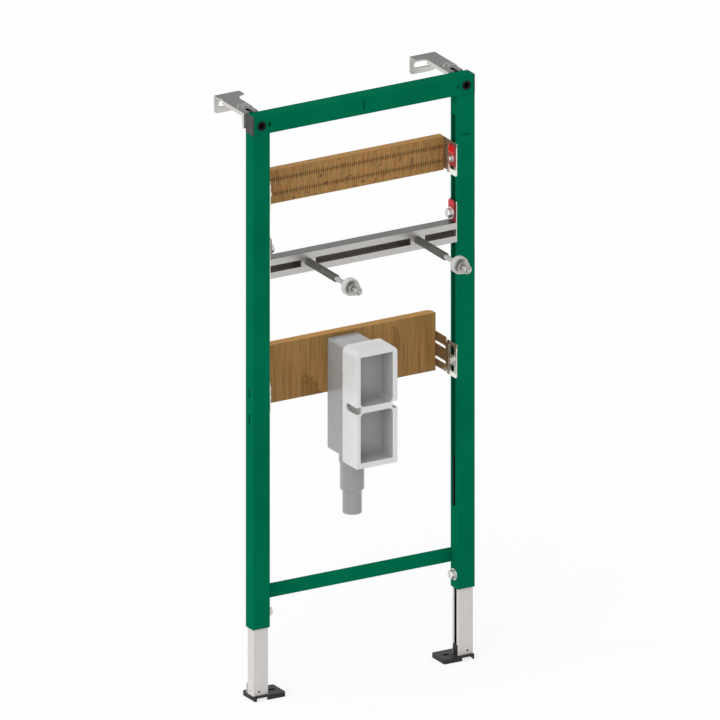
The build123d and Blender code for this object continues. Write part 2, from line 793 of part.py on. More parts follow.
def trap_outlet():
    """Outlet under the housing: collar, socket and spigot, bored up to the housing."""
    collar_radius = outlet_collar_diameter / 2
    socket_radius = outlet_socket_diameter / 2
    spigot_radius = outlet_spigot_diameter / 2
    outer = [
        (0, housing_bottom),
        (collar_radius, housing_bottom),
        (collar_radius, outlet_collar_bottom),
        (socket_radius, outlet_collar_bottom - outlet_collar_slope),
        (socket_radius, outlet_socket_bottom + outlet_chamfer),
        (spigot_radius, outlet_socket_bottom),
        (spigot_radius, outlet_spigot_bottom),
        (0, outlet_spigot_bottom),
    ]
    plane = Plane(origin=(0, outlet_axis_depth, 0), x_dir=(1, 0, 0), z_dir=(0, -1, 0))
    face = plane * make_face(Polyline(*outer, close=True))
    axis = Axis((0, outlet_axis_depth, 0), (0, 0, 1))
    outlet = revolve(face, axis=axis)
    bore_height = housing_bottom - outlet_spigot_bottom - outlet_wall
    start = (0, outlet_axis_depth, outlet_spigot_bottom - 1)
    bore = rod("z", start, bore_height + 1, outlet_spigot_diameter - 2 * outlet_wall)
    return outlet - bore


def pair(name, build):
    """A left hand piece and its mirrored twin, by node name."""
    left = build()
    return {f"left_{name}": left, f"right_{name}": mirrored(left)}


def all_pieces():
    """Every piece by its node name."""
    left_stud_x, right_stud_x = stud_places()
    pieces = {
        "top_beam": top_beam(),
        "lower_bar": lower_bar(),
        "mounting_rail": mounting_rail(),
        "channel_nuts": channel_nuts(),
        "left_stud": stud(left_stud_x),
        "right_stud": stud(right_stud_x),
        "left_stud_sleeve": stud_sleeve(left_stud_x),
        "right_stud_sleeve": stud_sleeve(right_stud_x),
        "stud_bushes": stud_bushes(),
        "tap_board": board(tap_board_front, tap_board_thickness, tap_top - tap_board_height,
                           tap_board_height),
        "trap_board": trap_board(),
        "trap_housing": trap_housing(),
        "trap_box": trap_box(),
        "trap_outlet": trap_outlet(),
        "left_wall_bracket": left_wall_bracket(),
        "right_wall_bracket": right_wall_bracket(),
    }
    twins = {
        "post": left_post,
        "end_cap": left_end_cap,
        "access_plug": left_access_plug,
        "wall_spindle": left_wall_spindle,
        "leg": left_leg,
        "foot": left_foot,
        "leg_bolt": left_leg_bolt,
        "rail_clip": left_rail_clip,
        "rail_bolt": left_rail_bolt,
        "tap_bracket": left_tap_bracket,
        "tap_clip": left_tap_clip,
        "tap_bolt": left_tap_bolt,
        "trap_bracket": left_trap_bracket,
        "trap_bolt": left_trap_bolt,
    }
    for name, build in twins.items():
        pieces.update(pair(name, build))
    return pieces


def main():
    """Write one STEP file for each piece, in the frame of the wall flange."""
    os.makedirs("parts", exist_ok=True)
    for name, piece in all_pieces().items():
        placed = Location(-origin) * piece
        export_step(placed, os.path.join("parts", f"{name}.step"))


main()
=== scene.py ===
"""Looks of a wall hung washbasin installation frame.

Every length here is in millimetres of the frame's own datum: X from the middle of the frame, Y from
the front plane of the posts towards the wall, Z up from the lower ends of the posts. A finished piece
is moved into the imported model's frame, in metres, when its object is made.
"""

from __future__ import annotations

import logging
import math
from dataclasses import dataclass, field
from enum import Enum
from typing import Any, Callable, Iterable, Sequence

import bmesh
import bpy
from mathutils import Matrix, Vector

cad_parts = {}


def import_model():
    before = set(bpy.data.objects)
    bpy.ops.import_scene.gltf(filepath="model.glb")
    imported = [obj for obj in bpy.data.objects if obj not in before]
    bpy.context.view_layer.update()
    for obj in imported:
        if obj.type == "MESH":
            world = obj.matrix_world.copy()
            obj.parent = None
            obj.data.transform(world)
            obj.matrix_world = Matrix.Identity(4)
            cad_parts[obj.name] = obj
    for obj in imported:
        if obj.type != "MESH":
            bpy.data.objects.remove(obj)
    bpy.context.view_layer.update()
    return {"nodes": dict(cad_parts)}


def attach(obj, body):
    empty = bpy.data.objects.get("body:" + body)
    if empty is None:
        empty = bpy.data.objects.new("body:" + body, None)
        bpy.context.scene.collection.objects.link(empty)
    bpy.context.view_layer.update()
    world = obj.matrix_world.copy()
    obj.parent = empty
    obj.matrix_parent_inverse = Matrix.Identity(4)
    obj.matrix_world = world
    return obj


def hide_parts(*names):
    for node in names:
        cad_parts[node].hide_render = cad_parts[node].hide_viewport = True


LOG = logging.getLogger("washbasin_frame")
METRE = 0.001
FULL_TURN = 2 * math.pi

Point = tuple[float, float, float]
Pair = tuple[float, float]
Rgb = tuple[int, int, int]

WHITE = (1.0, 1.0, 1.0, 1.0)
FRONTWARD, UPWARD = 1, 2
CLOUD_EDGES: Pair = (0.3, 0.7)


class Body(Enum):
    """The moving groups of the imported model."""

    FRAME = "frame"
    LEFT_LEG = "left_leg"
    RIGHT_LEG = "right_leg"


class Side(Enum):
    """The two halves of the frame."""

    LEFT = -1
    RIGHT = 1

    @property
    def label(self) -> str:
        """The word that names of nodes and pieces start with."""
        return self.name.lower()

    @property
    def leg(self) -> Body:
        """The body of this side's leg."""
        return Body.LEFT_LEG if self is Side.LEFT else Body.RIGHT_LEG

    def at(self, place: float, y: float, z: float) -> Point:
        """A point that lies this far from the middle of the frame."""
        return self.value * place, y, z


class Along(Enum):
    """Directions that a turned or pushed part can point."""

    X = "x"
    Y = "y"

    @property
    def turn(self) -> Matrix:
        """The rotation that lays local Z along this direction."""
        if self is Along.X:
            return Matrix.Rotation(math.pi / 2, 4, "Y")
        return Matrix.Rotation(-math.pi / 2, 4, "X")


@dataclass(frozen=True)
class Datum:
    """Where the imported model's origin lies in the frame's own millimetres."""

    x: float = -235.5
    y: float = 150.0
    z: float = 1090.0

    def matrix(self) -> Matrix:
        """The move from frame millimetres into row-frame metres."""
        return Matrix.Scale(METRE, 4) @ Matrix.Translation((-self.x, -self.y, -self.z))

    def place(self, point: Sequence[float]) -> Vector:
        """A point of the frame in row-frame metres."""
        return self.matrix() @ Vector(point)


DATUM = Datum()


def linear(colour: Rgb) -> tuple[float, float, float, float]:
    """The scene-linear RGBA of an 8-bit display colour.

    Args:
        colour: Red, green and blue from 0 to 255.

    Returns:
        Linear red, green, blue and an alpha of 1.
    """
    parts = []
    for level in colour:
        share = level / 255
        parts.append(share / 12.92 if share <= 0.04045 else ((share + 0.055) / 1.055) ** 2.4)
    return (*parts, 1.0)


def shade(colour: Rgb, factor: float) -> Rgb:
    """A lighter or darker display colour, kept within 0 to 255."""
    return tuple(max(0, min(255, round(level * factor))) for level in colour)


def math_node(operation: str, swapped: bool = False) -> Callable[..., Signal]:
    """Makes a method of Signal that adds one Math node.

    Args:
        operation: The node's operation.
        swapped: Whether the other value goes into the first socket.

    Returns:
        The method, which takes another value or signal, or none.
    """
    def method(signal: Signal, *others: Any) -> Signal:
        values = (*others, signal) if swapped else (signal, *others)
        return signal.graph.node("ShaderNodeMath", {"operation": operation}, dict(enumerate(values)))

    return method


class Signal:
    """A shader socket that takes part in Python arithmetic.

    A comparison gives one where it holds, else zero. The method most gives the larger value.
    """

    def __init__(self, graph: Graph, socket: bpy.types.NodeSocket) -> None:
        self.graph = graph
        self.socket = socket

    __add__ = __radd__ = math_node("ADD")
    __mul__ = __rmul__ = math_node("MULTIPLY")
    __sub__, __rsub__ = math_node("SUBTRACT"), math_node("SUBTRACT", swapped=True)
    __truediv__ = math_node("DIVIDE")
    __lt__, __gt__ = math_node("LESS_THAN"), math_node("GREATER_THAN")
    __abs__ = math_node("ABSOLUTE")
    fraction, root, most = math_node("FRACT"), math_node("SQRT"), math_node("MAXIMUM")

    def near(self, place: float, reach: float) -> Signal:
        """One within a reach of a place, else zero."""
        return abs(self - place) < reach

    def between(self, low: float, high: float) -> Signal:
        """One inside a span, else zero."""
        return self.near((low + high) / 2, (high - low) / 2)

    def ramp(self, low: float, high: float) -> Signal:
        """A smooth rise from 0 at one value to 1 at the other."""
        settings = {"interpolation_type": "SMOOTHSTEP", "clamp": True}
        values = {0: self, 1: low, 2: high, 3: 0.0, 4: 1.0}
        return self.graph.node("ShaderNodeMapRange", settings, values)


class Graph:
    """The nodes of a material or a world under construction."""

    def __init__(self, owner: bpy.types.Material | bpy.types.World) -> None:
        self.owner = owner
        owner.use_nodes = True
        self.tree = owner.node_tree
        self.tree.nodes.clear()

    def node(self, kind: str, settings: dict[str, Any] | None = None,
             inputs: dict[Any, Any] | None = None, output: Any = 0) -> Signal:
        """Adds any node.

        Args:
            kind: The node's type name.
            settings: Its own settings, set first.
            inputs: Values or signals for its sockets, by name or number.
            output: The socket that is handed back, by name or number.

        Returns:
            The chosen output as a signal.
        """
        made = self.tree.nodes.new(kind)
        for key, value in (settings or {}).items():
            setattr(made, key, value)
        for key, value in (inputs or {}).items():
            if isinstance(value, Signal):
                self.tree.links.new(value.socket, made.inputs[key])
            else:
                made.inputs[key].default_value = value
        return Signal(self, made.outputs[output])

    def close(self, shader: Signal, kind: str = "ShaderNodeOutputMaterial") -> None:
        """Links a shader to the output."""
        out = self.tree.nodes.new(kind)
        self.tree.links.new(shader.socket, out.inputs["Surface"])

    def parts(self, vector: Signal) -> tuple[Signal, ...]:
        """The three components of a vector."""
        outputs = self.node("ShaderNodeSeparateXYZ", inputs={0: vector}).socket.node.outputs
        return tuple(Signal(self, outputs[axis]) for axis in range(3))

    def axes(self) -> tuple[Signal, ...]:
        """The object coordinates in the frame's millimetres, as three signals."""
        parts = self.parts(self.node("ShaderNodeTexCoord", output="Object"))
        return tuple(part / METRE + start for part, start in zip(parts, (DATUM.x, DATUM.y, DATUM.z)))

    def facing(self, axis: int) -> Signal:
        """How far the surface faces along axis 0, 1 or 2, from -1 to 1."""
        return self.parts(self.node("ShaderNodeNewGeometry", output="Normal"))[axis]

    def ray(self, kind: str) -> Signal:
        """One on light paths of a kind, such as Camera or Glossy, else zero."""
        return self.node("ShaderNodeLightPath", output=f"Is {kind} Ray")

    def mirror(self) -> Signal:
        """One on light paths that a glossy or clear surface sends on, else zero."""
        return self.ray("Glossy").most(self.ray("Transmission"))

    def noise(self, scale: Point | float, detail: float = 2.0, rough: float = 0.5) -> Signal:
        """Smooth noise in object coordinates.

        Args:
            scale: Waves for each metre, one number or one for each axis.
            detail: Octaves.
            rough: How much the finer octaves count.

        Returns:
            The noise from 0 to 1.
        """
        coordinates = self.node("ShaderNodeTexCoord", output="Object")
        spread = scale if isinstance(scale, tuple) else (scale, scale, scale)
        mapped = self.node("ShaderNodeMapping", inputs={"Vector": coordinates, "Scale": spread})
        values = {"Vector": mapped, "Scale": 1.0, "Detail": detail, "Roughness": rough}
        return self.node("ShaderNodeTexNoise", {"noise_dimensions": "3D"}, values)

    def blend(self, share: Any, first: Any, second: Any, way: str = "MIX") -> Signal:
        """Mixes two colours.

        Args:
            share: How much of the second one shows.
            first: A linear colour or a signal.
            second: A linear colour or a signal.
            way: The Mix node's blend type.

        Returns:
            The mixed colour.
        """
        settings = {"data_type": "RGBA", "blend_type": way, "clamp_factor": True}
        return self.node("ShaderNodeMix", settings, {0: share, 6: first, 7: second}, output=2)

    def toned(self, colour: Any, tone: Signal) -> Signal:
        """A linear colour or signal, made lighter or darker by a factor."""
        grey = self.node("ShaderNodeCombineXYZ", inputs={0: tone, 1: tone, 2: tone})
        return self.blend(1.0, colour, grey, "MULTIPLY")

    def bump(self, height: Signal, depth: float, strength: float) -> Signal:
        """The normal of a bumpy surface, with its depth in millimetres."""
        values = {"Height": height, "Distance": depth * METRE, "Strength": strength}
        return self.node("ShaderNodeBump", inputs=values)


@dataclass(frozen=True)
class Patch:
    """A part of a piece with a colour of its own or with painted light or shade, as spans of the
    frame's millimetres.

    With mirrored, the spans of x count from the middle of the frame to either side.
    """

    colour: Rgb
    x: Pair = (-400.0, 400.0)
    y: Pair = (-300.0, 300.0)
    z: Pair = (-300.0, 1300.0)
    strength: float = 1.0
    mirrored: bool = False

    def paint(self, graph: Graph, axes: tuple[Signal, ...], base: Signal) -> Signal:
        """Lays the patch over a colour, with the coordinates in the frame's millimetres."""
        x, y, z = axes
        mask = (abs(x) if self.mirrored else x).between(*self.x)
        mask = mask * y.between(*self.y) * z.between(*self.z)
        return graph.blend(mask * self.strength, base, linear(self.colour))


def twin(colour: Rgb, **spans: Any) -> Patch:
    """A patch on both halves of the frame."""
    return Patch(colour, mirrored=True, **spans)


@dataclass(frozen=True)
class Finish:
    """A surface finish that can make its own material.

    Its roughness varies by the wear. Relief is the depth of its bumps, in millimetres, and their
    strength.
    """

    name: str
    slot: str
    colour: Rgb
    gloss: float = 0.5
    patches: tuple[Patch, ...] = ()
    roughness: float = 0.5
    wear: float = 0.12
    relief: Pair = (0.05, 0.2)

    def material(self) -> bpy.types.Material:
        """Builds the material."""
        graph = Graph(bpy.data.materials.new(self.name))
        sockets = {"Specular IOR Level": self.gloss, **self.sockets(graph)}
        graph.close(graph.node("ShaderNodeBsdfPrincipled", inputs=sockets))
        return graph.owner

    def sockets(self, graph: Graph) -> dict[str, Any]:
        """The values of the surface's sockets, by name."""
        raise NotImplementedError

    def patched(self, graph: Graph, axes: tuple[Signal, ...], base: Signal) -> Signal:
        """Lays all patches over a colour."""
        for patch in self.patches:
            base = patch.paint(graph, axes, base)
        return base


@dataclass(frozen=True)
class Moulded(Finish):
    """Moulded plastic with faint clouds and a fine grain."""

    roughness: float = 0.4
    wear: float = 0.06
    relief: Pair = (0.03, 0.4)
    coat: float = 0.0
    coat_roughness: float = 0.08
    mottle: float = 0.03
    cloud: float = 22.0
    touch: float = 70.0
    grain: float = 900.0

    def sockets(self, graph: Graph) -> dict[str, Any]:
        """The values of the surface's sockets, by name."""
        cloud = graph.noise(self.cloud, detail=3.0).ramp(*CLOUD_EDGES)
        low, high = (linear(shade(self.colour, 1 + part)) for part in (-self.mottle, self.mottle))
        return {
            "Base Color": self.patched(graph, graph.axes(), graph.blend(cloud, low, high)),
            "Roughness": self.roughness + self.wear * graph.noise(self.touch),
            "Coat Weight": self.coat,
            "Coat Roughness": self.coat_roughness,
            "Normal": graph.bump(graph.noise(self.grain), *self.relief),
        }


@dataclass(frozen=True)
class PowderCoat(Moulded):
    """Matt powder coat with a faint orange peel."""

    roughness: float = 0.5
    wear: float = 0.08
    relief: Pair = (0.05, 0.5)
    cloud: float = 9.0
    touch: float = 45.0
    grain: float = 620.0


@dataclass(frozen=True)
class SheetSteel(Finish):
    """Plated or rolled steel with streaks one way, a painted darker reflection on its upward faces and,
    where given, painted light on its front faces.
    """

    roughness: float = 0.34
    wear: float = 0.18
    relief: Pair = (0.05, 0.25)
    metallic: float = 0.85
    painted_top_reflection: Rgb = (120, 118, 115)
    top_reflection_facing: Pair = (0.35, 0.75)
    painted_front_light: Rgb | None = None
    front_light_facing: float = -0.8
    streaks: Point = (6.0, 260.0, 260.0)
    cloud: float = 28.0
    contrast: float = 0.10

    def sockets(self, graph: Graph) -> dict[str, Any]:
        """The values of the surface's sockets, by name."""
        # Painted reflection: upward faces take a darker colour, standing for a dark surround seen in
        # them.
        top_reflection = graph.facing(UPWARD).ramp(*self.top_reflection_facing)
        base = graph.blend(top_reflection, linear(self.colour), linear(self.painted_top_reflection))
        # Painted light: faces that face the front take a lighter colour, where one is given.
        if self.painted_front_light:
            front_light = graph.facing(FRONTWARD) < self.front_light_facing
            base = graph.blend(front_light, base, linear(self.painted_front_light))
        axes = graph.axes()
        base = self.stamp_light_and_shade(graph, axes, self.patched(graph, axes, base))
        streak = graph.noise(self.streaks, detail=3.0, rough=0.6)
        cloud = graph.noise(self.cloud, detail=3.0, rough=0.55)
        return {
            "Base Color": graph.toned(base, 1.0 - self.contrast + (streak + cloud) * self.contrast),
            "Metallic": self.metallic,
            "Roughness": self.roughness + (streak - 0.5) * self.wear,
            "Normal": graph.bump(streak, *self.relief),
        }

    def stamp_light_and_shade(self, graph: Graph, axes: tuple[Signal, ...], base: Signal) -> Signal:
        """The colour with the painted light and shade of stamped marks, which is nothing on plain
        sheet.
        """
        return base


@dataclass(frozen=True)
class StampedSteel(SheetSteel):
    """Sheet steel with painted highlight rings and painted shade speckle on its upper face behind each
    spindle, standing for stamped ring marks.
    """

    centre: Pair = (241.5, 60.0)
    level_facing: float = 0.9
    rings: Pair = (8.5, 17.5)
    ring_width: float = 1.5
    ring_highlight_colour: Rgb = (176, 175, 171)
    ring_highlight_strength: float = 0.8
    dent_shade_colour: Rgb = (72, 72, 70)
    dent_shade_strength: float = 0.6
    dent_margin: float = 2.0
    dents: float = 330.0
    dent_edges: Pair = (0.46, 0.6)

    def stamp_light_and_shade(self, graph: Graph, axes: tuple[Signal, ...], base: Signal) -> Signal:
        """The colour with painted highlight rings and painted shade speckle in the dents between them.
        """
        across, deep = abs(axes[0]) - self.centre[0], axes[1] - self.centre[1]
        radius = (across * across + deep * deep).root()
        upper = (graph.facing(UPWARD) > self.level_facing) * (deep > 0.0)
        # Painted shade speckle inside the outer ring, then painted highlight rings.
        dent_shade = graph.noise(self.dents).ramp(*self.dent_edges)
        inside = (radius < self.rings[-1] + self.dent_margin) * upper
        base = graph.blend(inside * dent_shade * self.dent_shade_strength, base, linear(self.dent_shade_colour))
        for ring in self.rings:
            mark = radius.near(ring, self.ring_width) * upper * self.ring_highlight_strength
            base = graph.blend(mark, base, linear(self.ring_highlight_colour))
        return base


@dataclass(frozen=True)
class Galvanised(Finish):
    """Hot dip zinc with a soft spangle."""

    metallic: float = 0.1
    crystals: float = 150.0
    cloud: float = 60.0
    least_tone: float = 0.95
    crystal_tone: float = 0.06
    cloud_tone: float = 0.04

    def sockets(self, graph: Graph) -> dict[str, Any]:
        """The values of the surface's sockets, by name."""
        coordinates = graph.node("ShaderNodeTexCoord", output="Object")
        cloud = graph.noise(self.cloud)
        values = {"Vector": coordinates, "Scale": self.crystals, "Randomness": 1.0}
        cells = graph.node("ShaderNodeTexVoronoi", {"feature": "F1"}, values, output="Color")
        crystal = graph.parts(cells)[0]
        tone = self.least_tone + self.crystal_tone * crystal + self.cloud_tone * cloud
        return {
            "Base Color": self.patched(graph, graph.axes(), graph.toned(linear(self.colour), tone)),
            "Metallic": self.metallic,
            "Roughness": self.roughness + self.wear * (crystal - 0.5),
            "Normal": graph.bump(cloud, *self.relief),
        }


@dataclass(frozen=True)
class Ruler:
    """Two printed scales along the front of the tap board."""

    colour: Rgb = (46, 22, 4)
    levels: Pair = (943.0, 912.0)
    line: float = 0.65
    line_ink: float = 0.75
    tick: float = 0.72
    tick_ink: float = 0.9
    pitch: float = 5.222
    short_start: float = -257.4
    short_height: float = 4.3
    tall_start: float = -252.2
    tall_height: float = 6.2
    reach: float = 216.0
    ink_depth: float = 0.5

    def ticks(self, x: Signal, start: float, pitch: float) -> Signal:
        """One on upright strokes that repeat from a start, else zero."""
        return abs(((x - start) / pitch + 0.5).fraction() - 0.5) < self.tick / pitch

    def mask(self, axes: tuple[Signal, ...], front: float) -> Signal:
        """How strong the ink is, from 0 to 1, on a board with this front plane."""
        x, y, z = axes
        short = self.ticks(x, self.short_start, self.pitch)
        tall = self.ticks(x, self.tall_start, 2 * self.pitch)
        scales = []
        for level in self.levels:
            low, high = z.near(level, self.short_height), z.near(level, self.tall_height)
            strokes = (short * low).most(tall * high) * self.tick_ink
            scales.append(strokes.most(z.near(level, self.line) * self.line_ink))
        return scales[0].most(scales[1]) * (y < front + self.ink_depth) * (abs(x) < self.reach)


@dataclass(frozen=True)
class Arch:
    """One arched figure in the grain, which rises from the lower edge beside a straight line."""

    side: float
    foot: float
    width: float
    height: float
    fill: float = 0.34
    rings: tuple[Pair, ...] = ((1.0, 0.35), (0.72, 0.2), (0.45, 0.15))
    ring_width: float = 0.04
    waves: Point = (60.0, 20.0, 60.0)
    wobble: float = 0.7

    def paint(self, graph: Graph, x: Signal, z: Signal, base: Signal, dark: Rgb) -> Signal:
        """Lays the darker arch and its rings over the grain."""
        across, up = (x - self.side) / self.width, (z - self.foot) / self.height
        wobble = graph.noise(self.waves, detail=3.0) * self.wobble - self.wobble / 2
        radius = (across * across + up * up).root() + wobble
        beside = across > 0.0
        base = graph.blend((radius < 1.0) * beside * self.fill, base, linear(dark))
        for ring, strength in self.rings:
            mark = radius.near(ring, self.ring_width) * beside * strength
            base = graph.blend(mark, base, linear(dark))
        return base


@dataclass(frozen=True)
class Plywood(Finish):
    """Plywood: grain on its face, plies on its edges, and perhaps a printed scale."""

    roughness: float = 0.55
    relief: Pair = (0.1, 0.3)
    warm_colour: Rgb = (158, 112, 64)
    warm_edges: Pair = (0.36, 0.64)
    dark_colour: Rgb = (86, 54, 26)
    front: float = 54.0
    thickness: float = 20.0
    grain: Point = (260.0, 60.0, 34.0)
    contrast: float = 1.4
    mottle: Point = (90.0, 60.0, 110.0)
    knots: float = 0.7
    knot_scale: Point = (70.0, 40.0, 95.0)
    knot_edges: Pair = (0.64, 0.72)
    arches: tuple[Arch, ...] = ()
    ruler: Ruler | None = None
    edge_facing: float = 0.5
    edge_colour: Rgb = (184, 136, 76)
    edge_shades: Pair = (0.74, 1.08)
    edge_clouds: Pair = (0.4, 0.6)
    edge_cloud_strength: float = 0.5
    ply: float = 1.6
    ply_edges: Pair = (0.2, 0.3)
    ply_strength: float = 0.4
    skin: float = 0.6

    def sockets(self, graph: Graph) -> dict[str, Any]:
        """The values of the surface's sockets, by name."""
        x, y, z = graph.axes()
        fibre = graph.noise(self.grain, detail=4.0, rough=0.6)
        mottle = graph.noise(self.mottle, detail=3.0, rough=0.6)
        face = graph.blend(mottle.ramp(*self.warm_edges), linear(self.colour), linear(self.warm_colour))
        face = graph.toned(face, 1.0 - self.contrast / 2 + self.contrast * fibre)
        knot = graph.noise(self.knot_scale).ramp(*self.knot_edges)
        face = graph.blend(knot * self.knots, face, linear(self.dark_colour))
        for arch in self.arches:
            face = arch.paint(graph, x, z, face, self.dark_colour)
        if self.ruler:
            ink = self.ruler.mask((x, y, z), self.front)
            face = graph.blend(ink, face, linear(self.ruler.colour))
        inner = y.between(self.front + self.skin, self.front + self.thickness - self.skin)
        on_edge = (abs(graph.facing(FRONTWARD)) < self.edge_facing) * inner
        return {
            "Base Color": graph.blend(on_edge, face, self.edge(graph, y, mottle)),
            "Roughness": self.roughness + self.wear * fibre,
            "Normal": graph.bump(fibre, *self.relief),
        }

    def edge(self, graph: Graph, y: Signal, mottle: Signal) -> Signal:
        """The colour of the edges, where every second ply is darker."""
        dark, warm = self.edge_shades
        ply = abs(((y - self.front) / self.ply * 0.5).fraction() - 0.5).ramp(*self.ply_edges)
        edge = graph.blend(ply * self.ply_strength, linear(self.edge_colour),
                           linear(shade(self.edge_colour, dark)))
        cloud = mottle.ramp(*self.edge_clouds) * self.edge_cloud_strength
        return graph.blend(cloud, edge, linear(shade(self.warm_colour, warm)))


class Workpiece:
    """A mesh that is shaped with bmesh operators in the frame's millimetres.

    Angles are in degrees, and a thread's depth and crest are shares of its pitch.
    """

    node_merge = 0.004
    seam_merge = 0.0005
    last_merge = 0.001
    flat_angle = 0.6
    sharp_angle = 40.0
    smooth_angle = 26.0
    thread_depth = 0.6
    thread_crest = (0.4, 0.6)

    def __init__(self) -> None:
        self.bm = bmesh.new()

    @classmethod
    def from_node(cls, node: bpy.types.Object) -> Workpiece:
        """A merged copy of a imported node, with its flat faces joined.

        Args:
            node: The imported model's object.

        Returns:
            The copy, in the frame's millimetres.
        """
        made = cls()
        made.bm.from_mesh(node.data)
        bmesh.ops.transform(made.bm, matrix=DATUM.matrix().inverted(), verts=made.bm.verts)
        bmesh.ops.remove_doubles(made.bm, verts=made.bm.verts, dist=cls.node_merge)
        bmesh.ops.dissolve_limit(made.bm, angle_limit=math.radians(cls.flat_angle),
                                 use_dissolve_boundaries=False, verts=made.bm.verts,
                                 edges=made.bm.edges, delimit=set())
        return made

    def block(self, low: Point, high: Point, bevel: float) -> None:
        """Adds a box between two corners.

        Args:
            low: The lowest corner.
            high: The highest corner.
            bevel: The width of its worn edges.
        """
        size = Vector(high) - Vector(low)
        middle = Matrix.Translation((Vector(high) + Vector(low)) / 2)
        made = bmesh.ops.create_cube(self.bm, size=1.0, matrix=middle @ Matrix.Diagonal((*size, 1.0)))
        edges = {edge for vert in made["verts"] for edge in vert.link_edges}
        self.bevel(edges, bevel, segments=2)

    def bevel(self, edges: Iterable[bmesh.types.BMEdge], width: float, segments: int = 1) -> None:
        """Rounds or chamfers edges."""
        bmesh.ops.bevel(self.bm, geom=list(edges), offset=width, offset_type="OFFSET",
                        segments=segments, profile=0.5, affect="EDGES", material=-1,
                        clamp_overlap=True)

    def soften(self, width: float, segments: int) -> None:
        """Breaks every sharp edge.

        Args:
            width: The width of the broken edge.
            segments: One for a chamfer, more for a round.
        """
        sharp = [edge for edge in self.bm.edges if len(edge.link_faces) == 2
                 and edge.calc_face_angle(0.0) > math.radians(self.sharp_angle)]
        self.bevel(sharp, width, segments)

    def lathe(self, outline: Sequence[Pair], start: Point, along: Along, steps: int = 48) -> None:
        """Turns an outline round an axis.

        Args:
            outline: Pairs of radius and distance along the axis.
            start: The point of the axis where the distance is zero.
            along: The axis.
            steps: Facets of a full turn.
        """
        before = set(self.bm.verts)
        verts = [self.bm.verts.new((radius, 0.0, distance)) for radius, distance in outline]
        edges = [self.bm.edges.new(ends) for ends in zip(verts, verts[1:])]
        bmesh.ops.spin(self.bm, geom=verts + edges, cent=(0, 0, 0), axis=(0, 0, 1), dvec=(0, 0, 0),
                       angle=FULL_TURN, steps=steps, use_merge=True, use_duplicate=False)
        fresh = [vert for vert in self.bm.verts if vert not in before]
        bmesh.ops.transform(self.bm, matrix=Matrix.Translation(start) @ along.turn, verts=fresh)
        bmesh.ops.remove_doubles(self.bm, verts=fresh, dist=self.seam_merge)

    def prism(self, corners: int, across: float, start: Point, along: Along, length: float,
              chamfer: float) -> None:
        """Adds a bar with a regular outline.

        Args:
            corners: The number of its corners.
            across: Its size across the flats.
            start: The middle of its first end.
            along: Its axis.
            length: How far it reaches along the axis.
            chamfer: The width of the chamfer round both ends.
        """
        radius = across / 2 / math.cos(math.pi / corners)
        place = Matrix.Translation(start) @ along.turn
        made = bmesh.ops.create_circle(self.bm, cap_ends=True, cap_tris=False, segments=corners,
                                       radius=radius, matrix=place)
        face = next(iter(made["verts"][0].link_faces))
        grown = bmesh.ops.extrude_face_region(self.bm, geom=[face], use_keep_orig=True)
        top = [item for item in grown["geom"] if isinstance(item, bmesh.types.BMVert)]
        bmesh.ops.translate(self.bm, verts=top, vec=(place.to_3x3() @ Vector((0, 0, length))))
        rims = {edge for verts in (made["verts"], top) for vert in verts for edge in vert.link_edges
                if all(end in verts for end in edge.verts)}
        self.bevel(rims, chamfer)

    def rod(self, diameter: float, start: Point, along: Along, length: float, chamfer: float) -> None:
        """Adds a round bar with chamfered ends."""
        radius = diameter / 2
        outline = [(0.0, 0.0), (radius - chamfer, 0.0), (radius, chamfer), (radius, length - chamfer),
                   (radius - chamfer, length), (0.0, length)]
        self.lathe(outline, start, along, steps=40)

    def ring(self, outer: float, inner: float, start: Point, along: Along, length: float,
             chamfer: float = 0.25) -> None:
        """Adds a washer or a tube with chamfered rims, by its two diameters."""
        big, small = outer / 2, inner / 2
        outline = [(small, chamfer), (small + chamfer, 0.0), (big - chamfer, 0.0), (big, chamfer),
                   (big, length - chamfer), (big - chamfer, length), (small + chamfer, length),
                   (small, length - chamfer), (small, chamfer)]
        self.lathe(outline, start, along)

    def thread(self, diameter: float, pitch: float, start: Point, along: Along,
               length: float) -> None:
        """Adds a threaded bar as a row of ridges between chamfered ends.

        Args:
            diameter: Over the ridges.
            pitch: From ridge to ridge.
            start: The middle of its first end.
            along: Its axis.
            length: Its whole length.
        """
        crest = diameter / 2
        root = crest - self.thread_depth * pitch
        count = int((length - 2 * pitch) / pitch)
        margin = (length - count * pitch) / 2
        outline = [(0.0, 0.0), (root, 0.0)]
        for turn in range(count):
            low = margin + turn * pitch
            outline += [(root, low), *((crest, low + part * pitch) for part in self.thread_crest)]
        outline += [(root, margin + count * pitch), (root, length), (0.0, length)]
        self.lathe(outline, start, along, steps=28)

    def mesh(self, name: str) -> bpy.types.Mesh:
        """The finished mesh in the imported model's metres. It uses the workpiece up."""
        bmesh.ops.remove_doubles(self.bm, verts=self.bm.verts, dist=self.last_merge)
        bmesh.ops.recalc_face_normals(self.bm, faces=self.bm.faces)
        bmesh.ops.transform(self.bm, matrix=DATUM.matrix(), verts=self.bm.verts)
        mesh = bpy.data.meshes.new(name)
        self.bm.to_mesh(mesh)
        self.bm.free()
        mesh.shade_smooth()
        mesh.set_sharp_from_angle(angle=math.radians(self.smooth_angle))
        return mesh


SKIN: Pair = (-1.0, 1.0)
RAIL_CLIP: Pair = (211.0, 218.0)
TAP_CLIP: Pair = (214.0, 220.0)
CHAMBER: Pair = (-37.7, 37.7)
EVEN: Point = (60.0, 60.0, 60.0)
FINE: Point = (90.0, 90.0, 90.0)

